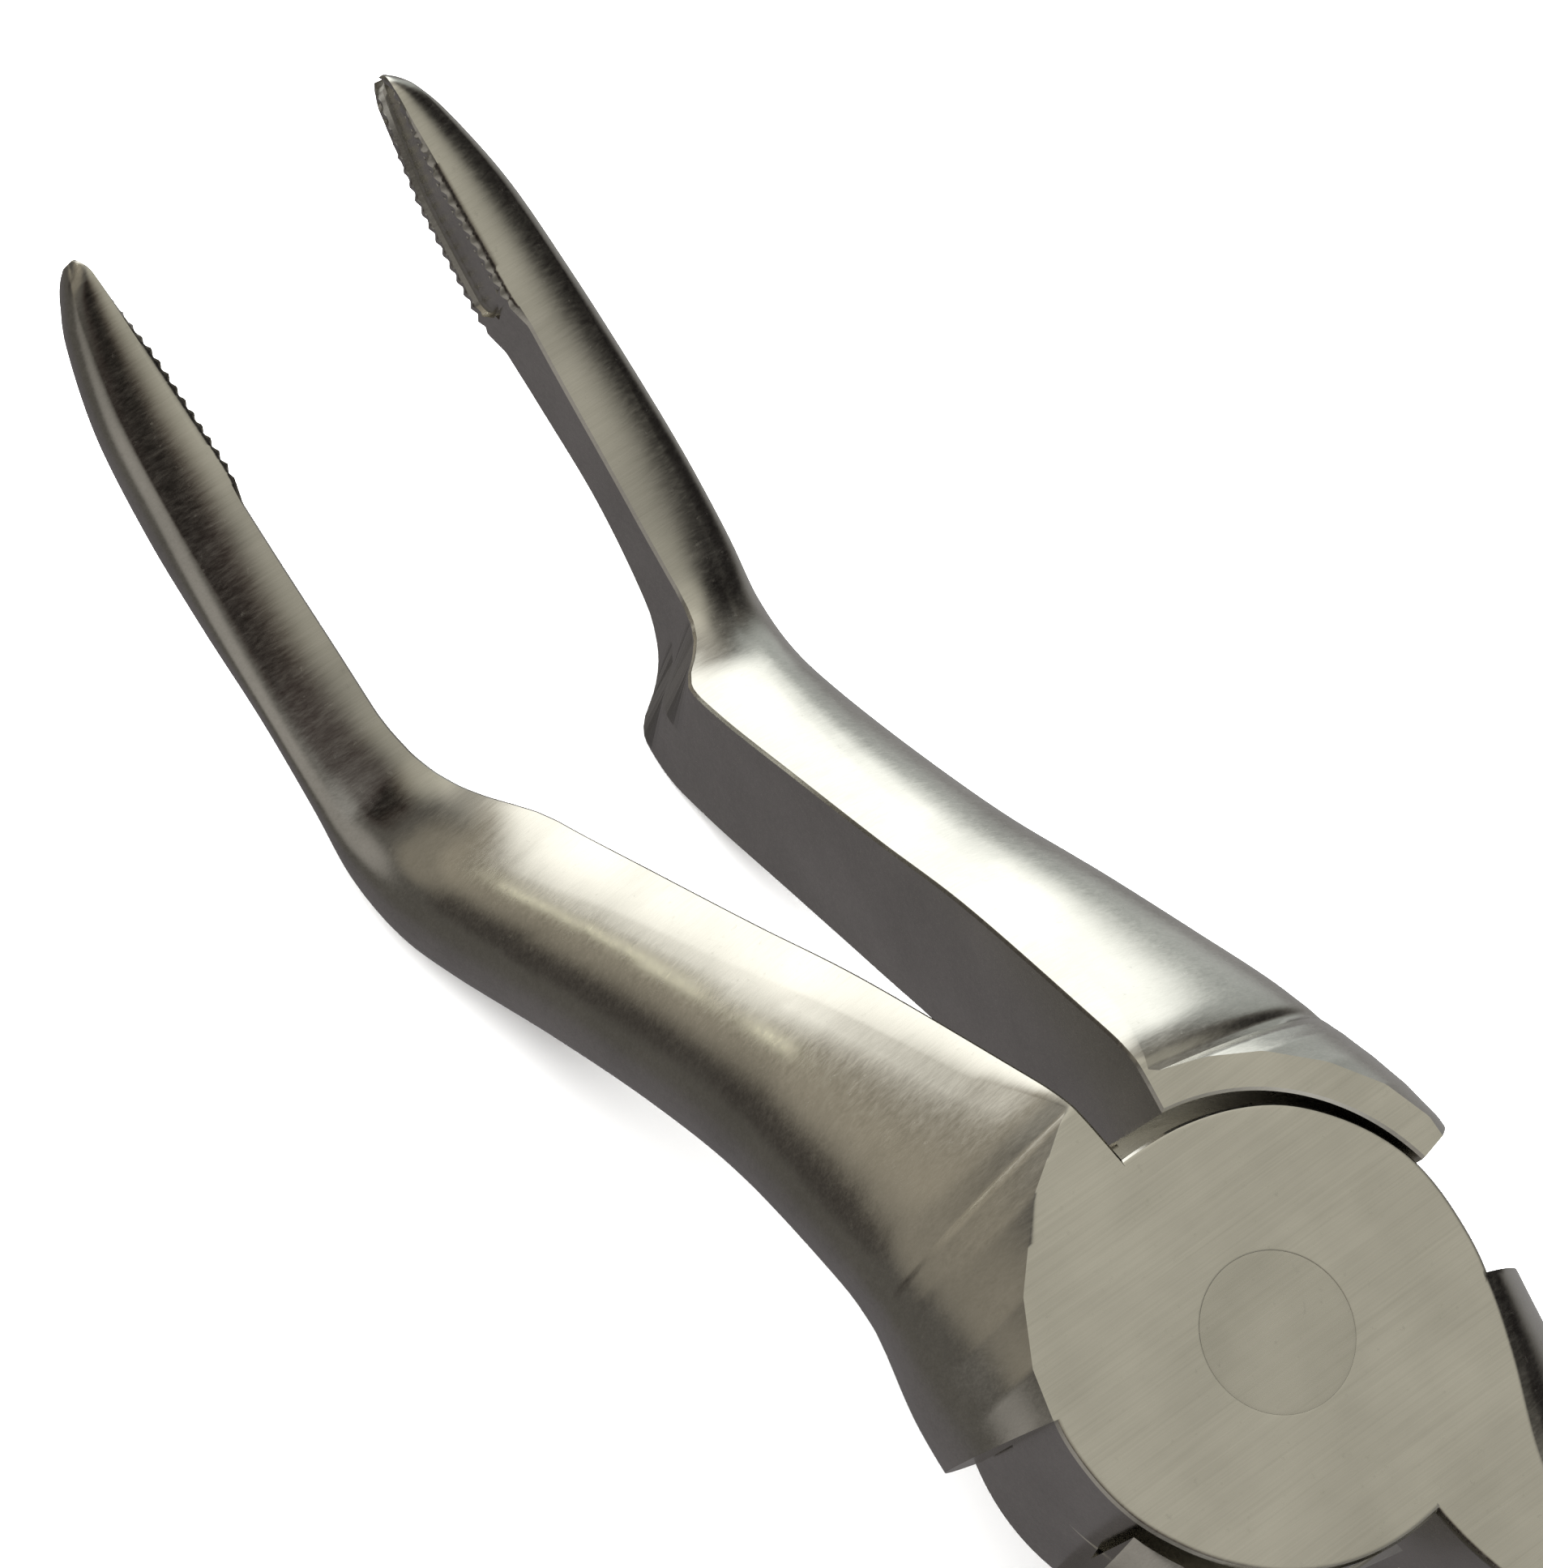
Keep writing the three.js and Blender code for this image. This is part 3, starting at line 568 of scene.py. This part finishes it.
def screw(name, front):
    """A slotted dome-head screw that holds the strip to its handle."""
    base = STRIP + 0.12
    wide = SCREW_HEAD_RADIUS
    shank = [(0, -3.0), (1.1, -3.0), (SCREW_RADIUS, -2.8), (SCREW_RADIUS, base)]
    dome = [(2.2, 0), (wide, 0.08), (wide, 0.35), (2.2, 0.6), (1.9, 0.8), (1.4, 0.92), (0.7, 0.98),
            (0, 1.0)]
    profile = shank + [(radius, base + rise) for radius, rise in dome]
    body = turned("screw", profile[::-1], 64)
    slot = prism("slot", [(-3, -0.32), (3, -0.32), (3, 0.32), (-3, 0.32)], base + 0.45, base + 3)
    combine(body, slot, "DIFFERENCE")
    tidy_mesh(body)
    side = 1 if front else -1
    normal = Vector((-side * math.cos(SEAT_SLOPE), -math.sin(SEAT_SLOPE), 0))
    along = Vector((-normal.y, normal.x, 0))
    across = normal.cross(along)
    x = side * (CLOSED_X + math.tan(SEAT_SLOPE) * (NECK_Y - SEAT_Y))
    turn = Matrix((along, across, normal)).transposed().to_4x4()
    body.data.transform(Matrix.Translation((x, SEAT_Y, MID_Z)) @ turn)
    place(body, name, side)
    return body


# ---------- grips ----------
def grip(name, front):
    """A dipped grip: a soft front lip, finger ribs on the outer side and a round end."""
    at = np.concatenate([np.linspace(0, 1, 12), np.linspace(1, len(GRIP_ROWS) - 1, 260)[1:]])
    rings = []
    count = 72
    for y, inner, outer, half in spline(GRIP_ROWS, at):
        lip = LIP * math.exp(-((y - GRIP_FRONT_Y + 1.4) / 0.9) ** 2)
        front_round = 1 - 0.10 * math.exp(-((y - GRIP_FRONT_Y) / 0.35) ** 2)
        ribs = rib_depth(y)
        cx, wx = (inner + outer) / 2, (outer - inner) / 2
        ring = []
        for k in range(count):
            a = 2 * math.pi * k / count
            c, s = math.cos(a), math.sin(a)
            px = math.copysign(abs(c) ** (2 / 2.5), c)
            pz = math.copysign(abs(s) ** (2 / 2.5), s)
            outside = max(0.0, c) ** 0.7
            grow = lip - ribs * outside
            x = cx + (wx * front_round + grow) * px
            ring.append((x, y, MID_Z + (half * front_round + grow * 0.6) * pz))
        rings.append(ring)
    body = loft("grip", rings)
    pocket = [handle_section(*row, grow=0.03) for row in spline(HANDLE_ROWS, np.linspace(6.5, 11.5, 30))]
    combine(body, loft("pocket", pocket), "DIFFERENCE")
    tidy_mesh(body, 40)
    if not front:
        mirror(body)
    place(body, name, 1 if front else -1)
    return body


def rib_depth(y):
    """Shallow grooves where the fingers lie."""
    if not RIB_START_Y < y < RIB_END_Y:
        return 0.0
    fade = min(1.0, (y - RIB_START_Y) / 5, (RIB_END_Y - y) / 5)
    phase = (y - RIB_START_Y) / RIB_PITCH % 1
    return RIB_DEPTH * fade * math.exp(-((phase - 0.5) / 0.16) ** 2)


# ---------- materials ----------
def node_material(name):
    """A new material with its nodes, links and main shader."""
    material = bpy.data.materials.new(name)
    material.use_nodes = True
    tree = material.node_tree
    return material, tree.nodes, tree.links, tree.nodes["Principled BSDF"]


def stretched_noise(nodes, links, scale, stretch, detail=3.0, turn=(0, 0, 0)):
    """Noise in the piece's own coordinates, drawn out along some axes."""
    coords = nodes.new("ShaderNodeTexCoord")
    mapping = nodes.new("ShaderNodeMapping")
    mapping.inputs["Scale"].default_value = stretch
    mapping.inputs["Rotation"].default_value = turn
    noise = nodes.new("ShaderNodeTexNoise")
    noise.inputs["Scale"].default_value = scale
    noise.inputs["Detail"].default_value = detail
    links.new(coords.outputs["Object"], mapping.inputs["Vector"])
    links.new(mapping.outputs["Vector"], noise.inputs["Vector"])
    return noise.outputs["Fac"]


def ramp(nodes, links, value, stops):
    """Colours between (position, colour) stops."""
    node = nodes.new("ShaderNodeValToRGB")
    ends = node.color_ramp.elements
    ends[0].position, ends[0].color = stops[0][0], (*stops[0][1], 1)
    ends[1].position, ends[1].color = stops[-1][0], (*stops[-1][1], 1)
    for position, colour in stops[1:-1]:
        ends.new(position).color = (*colour, 1)
    links.new(value, node.inputs["Fac"])
    return node.outputs["Color"]


def remap(nodes, links, value, low, high, start=0.0, end=1.0):
    """The value from start..end, taken to low..high."""
    node = nodes.new("ShaderNodeMapRange")
    node.inputs["From Min"].default_value = start
    node.inputs["From Max"].default_value = end
    node.inputs["To Min"].default_value = low
    node.inputs["To Max"].default_value = high
    links.new(value, node.inputs["Value"])
    return node.outputs["Result"]


def maths(nodes, links, operation, first, second):
    """One sum of two sockets or numbers."""
    node = nodes.new("ShaderNodeMath")
    node.operation = operation
    for socket, value in zip(node.inputs, (first, second)):
        if isinstance(value, (int, float)):
            socket.default_value = value
        else:
            links.new(value, socket)
    return node.outputs[0]


def brushed_steel(name, dark, light, rough_low, rough_high, line_depth):
    """Belt-ground stainless: fine lines across the tool, soft blotches and a few scratches."""
    material, nodes, links, shader = node_material(name)
    shader.inputs["Metallic"].default_value = 1.0
    fine = stretched_noise(nodes, links, 1.0, (160, 9000, 9000), 4.0, (0.0, 0.0, 0.03))
    lines = stretched_noise(nodes, links, 1.0, (90, 3200, 3200), 3.0, (0.0, 0.0, -0.06))
    blotch = stretched_noise(nodes, links, 180.0, (1, 1, 1), 4.0)
    speck = stretched_noise(nodes, links, 2600.0, (1, 1, 1), 2.0)
    grain = maths(nodes, links, "ADD", maths(nodes, links, "MULTIPLY", fine, 0.55),
                  maths(nodes, links, "MULTIPLY", lines, 0.45))
    tone = maths(nodes, links, "ADD", maths(nodes, links, "MULTIPLY", grain, 0.55),
                 maths(nodes, links, "MULTIPLY", blotch, 0.45))
    links.new(ramp(nodes, links, tone, [(0.36, dark), (0.64, light)]), shader.inputs["Base Color"])
    rough = maths(nodes, links, "ADD", remap(nodes, links, grain, rough_low, rough_high, 0.35, 0.65),
                  remap(nodes, links, speck, 0.0, 0.10, 0.66, 0.8))
    links.new(rough, shader.inputs["Roughness"])
    bump = nodes.new("ShaderNodeBump")
    bump.inputs["Strength"].default_value = 1.0
    bump.inputs["Distance"].default_value = line_depth
    links.new(grain, bump.inputs["Height"])
    links.new(bump.outputs["Normal"], shader.inputs["Normal"])
    return material


def soft_vinyl(name):
    """Matte dipped vinyl with a faint orange peel."""
    material, nodes, links, shader = node_material(name)
    peel = stretched_noise(nodes, links, 1500.0, (1, 1, 1), 3.0)
    cloud = stretched_noise(nodes, links, 120.0, (1, 1, 1), 3.0)
    links.new(ramp(nodes, links, cloud, [(0.3, (0.005, 0.005, 0.006)), (0.7, (0.010, 0.010, 0.0115))]),
              shader.inputs["Base Color"])
    links.new(remap(nodes, links, peel, 0.42, 0.58), shader.inputs["Roughness"])
    bump = nodes.new("ShaderNodeBump")
    bump.inputs["Strength"].default_value = 0.5
    bump.inputs["Distance"].default_value = 0.00006
    links.new(peel, bump.inputs["Height"])
    links.new(bump.outputs["Normal"], shader.inputs["Normal"])
    return material


def finish_piece(obj, material, slot, body, *nodes):
    """Gives a piece its material and body, and hides the CAD nodes that it stands for; slot is not used."""
    obj.data.materials.clear()
    obj.data.materials.append(material)
    if body:
        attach(obj, body)
    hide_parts(*nodes)


# ---------- studio ----------
EYE = Vector((-0.141842, -0.022453, 0.315521))   # metres from the pivot
EYE_RIGHT = Vector((0.765431, -0.601227, 0.229438))
EYE_UP = Vector((0.506607, 0.782836, 0.361272))
EYE_BACK = Vector((-0.396819, -0.160294, 0.903792))
LENS = 176.92
LIGHT_DISTANCE = 1.2


def camera():
    """The view from above the joint's left, down onto the open jaws."""
    data = bpy.data.cameras.new("camera")
    data.lens = LENS
    data.sensor_width = 36
    data.clip_start, data.clip_end = 0.01, 10
    obj = bpy.data.objects.new("camera", data)
    bpy.context.scene.collection.objects.link(obj)
    turn = Matrix((EYE_RIGHT, EYE_UP, EYE_BACK)).transposed().to_4x4()
    obj.matrix_world = Matrix.Translation(PIVOT + EYE) @ turn
    bpy.context.scene.camera = obj


def floor():
    """A plain pale floor, which the metal doesn't mirror."""
    bm = bmesh.new()
    bmesh.ops.create_grid(bm, x_segments=1, y_segments=1, size=2.0)
    mesh = bpy.data.meshes.new("floor")
    bm.to_mesh(mesh)
    bm.free()
    obj = bpy.data.objects.new("floor", mesh)
    bpy.context.scene.collection.objects.link(obj)
    obj.location.z = -0.0002
    material, _, _, shader = node_material("pale_floor")
    shader.inputs["Base Color"].default_value = (0.9, 0.9, 0.9, 1)
    shader.inputs["Roughness"].default_value = 1.0
    shader.inputs["Specular IOR Level"].default_value = 0.0
    mesh.materials.append(material)
    obj.visible_glossy = False


def soft_box(name, towards, size, power):
    """A large soft light from one direction, for the floor and the vinyl only."""
    data = bpy.data.lights.new(name, "AREA")
    data.shape = "DISK"
    data.size = size
    data.energy = power
    obj = bpy.data.objects.new(name, data)
    bpy.context.scene.collection.objects.link(obj)
    way = Vector(towards).normalized()
    obj.location = way * LIGHT_DISTANCE
    obj.rotation_mode = "QUATERNION"
    obj.rotation_quaternion = way.to_track_quat("Z", "Y")
    obj.visible_glossy = False


# What the metal sees: soft panels, and black flags where the colour is below zero, each as
# (direction, inner degrees, outer degrees, colour).
SURROUND = (0.125, 0.118, 0.108)
DARKEST = (0.012, 0.010, 0.009)
PANELS = [
    ((0.40, 0.03, 0.915), 14, 34, (0.49, 0.48, 0.41)),
    ((0.40, 0.60, 0.69), 10, 32, (0.40, 0.39, 0.35)),
    ((0.42, 0.90, 0.08), 13, 33, (1.7, 1.74, 1.72)),
    ((0.80, 0.58, -0.05), 8, 28, (0.42, 0.46, 0.46)),
    ((0.00, 0.97, 0.20), 16, 36, (0.24, 0.215, 0.165)),
    ((-0.15, 0.97, 0.20), 1.2, 2.8, (3.0, 3.0, 2.4)),
    ((-0.50, 0.62, 0.60), 12, 30, (0.20, 0.18, 0.14)),
    ((-0.95, -0.2, 0.35), 12, 32, (0.27, 0.26, 0.25)),
    ((0.75, 0.1, -0.6), 10, 40, (0.20, 0.20, 0.21)),
    ((-0.35, 0.0, -0.94), 20, 55, (0.03, 0.028, 0.045)),
    ((0.0, -0.95, 0.30), 25, 56, (0.28, 0.28, 0.27)),
    ((-0.4, -0.8, 0.45), 10, 30, (0.35, 0.35, 0.35)),
    ((0.6, -0.75, 0.3), 8, 24, (0.45, 0.45, 0.45)),
    ((-0.15, -0.25, 0.95), 10, 28, (-0.13, -0.14, -0.13)),
    ((0.94, -0.17, 0.30), 10, 26, (-0.11, -0.105, -0.095)),
    ((-0.62, 0.78, 0.03), 6, 18, (-0.06, -0.06, -0.055)),
]


def studio_world():
    """The surroundings that the metal shows: a dim room, its panels and its flags."""
    world = bpy.data.worlds.new("studio")
    bpy.context.scene.world = world
    world.use_nodes = True
    nodes, links = world.node_tree.nodes, world.node_tree.links
    background = nodes["Background"]
    coords = nodes.new("ShaderNodeTexCoord")
    total = nodes.new("ShaderNodeRGB").outputs[0]
    total.default_value = (*SURROUND, 1)
    for towards, inner, outer, colour in PANELS:
        way = Vector(towards).normalized()
        dot = nodes.new("ShaderNodeVectorMath")
        dot.operation = "DOT_PRODUCT"
        dot.inputs[1].default_value = way
        links.new(coords.outputs["Generated"], dot.inputs[0])
        soft = nodes.new("ShaderNodeMapRange")
        soft.interpolation_type = "SMOOTHSTEP"
        soft.inputs["From Min"].default_value = math.cos(math.radians(outer))
        soft.inputs["From Max"].default_value = math.cos(math.radians(inner))
        links.new(dot.outputs["Value"], soft.inputs["Value"])
        scale = nodes.new("ShaderNodeVectorMath")
        scale.operation = "SCALE"
        scale.inputs[0].default_value = colour
        links.new(soft.outputs["Result"], scale.inputs["Scale"])
        add = nodes.new("ShaderNodeVectorMath")
        add.operation = "ADD"
        links.new(total, add.inputs[0])
        links.new(scale.outputs["Vector"], add.inputs[1])
        total = add.outputs["Vector"]
    least = nodes.new("ShaderNodeVectorMath")
    least.operation = "MAXIMUM"
    least.inputs[1].default_value = DARKEST
    links.new(total, least.inputs[0])
    links.new(least.outputs["Vector"], background.inputs["Color"])


camera()
floor()
studio_world()
soft_box("overhead", (0.15, 0.1, 1.0), 2.2, 75)
soft_box("key", (-0.5, 0.5, 0.9), 0.9, 10)
bpy.context.scene.view_settings.view_transform = "Standard"

steel = brushed_steel("brushed_steel", (0.50, 0.485, 0.44), (0.66, 0.64, 0.585), 0.17, 0.26, 0.0000025)
rivet_steel = brushed_steel("rivet_steel", (0.48, 0.465, 0.42), (0.64, 0.62, 0.565), 0.22, 0.32, 0.000004)
spring_steel = brushed_steel("spring_steel", (0.33, 0.33, 0.33), (0.5, 0.5, 0.49), 0.24, 0.38, 0.000003)
vinyl = soft_vinyl("dipped_vinyl")

finish_piece(arm("front_arm_steel", True), steel, "steel", "front", "front_arm")
finish_piece(arm("rear_arm_steel", False), steel, "steel", "rear", "rear_arm")
finish_piece(rivet(), rivet_steel, "rivet_steel", "front", "pivot_rivet")
finish_piece(screw("front_screw_head", True), spring_steel, "spring_steel", "front", "front_spring_screw")
finish_piece(screw("rear_screw_head", False), spring_steel, "spring_steel", "rear", "rear_spring_screw")
finish_piece(grip("front_grip_vinyl", True), vinyl, "grip", "front", "front_grip")
finish_piece(grip("rear_grip_vinyl", False), vinyl, "grip", "rear", "rear_grip")

strip = spring()
finish_piece(strip, spring_steel, "spring_steel", None, "return_spring")
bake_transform(strip)
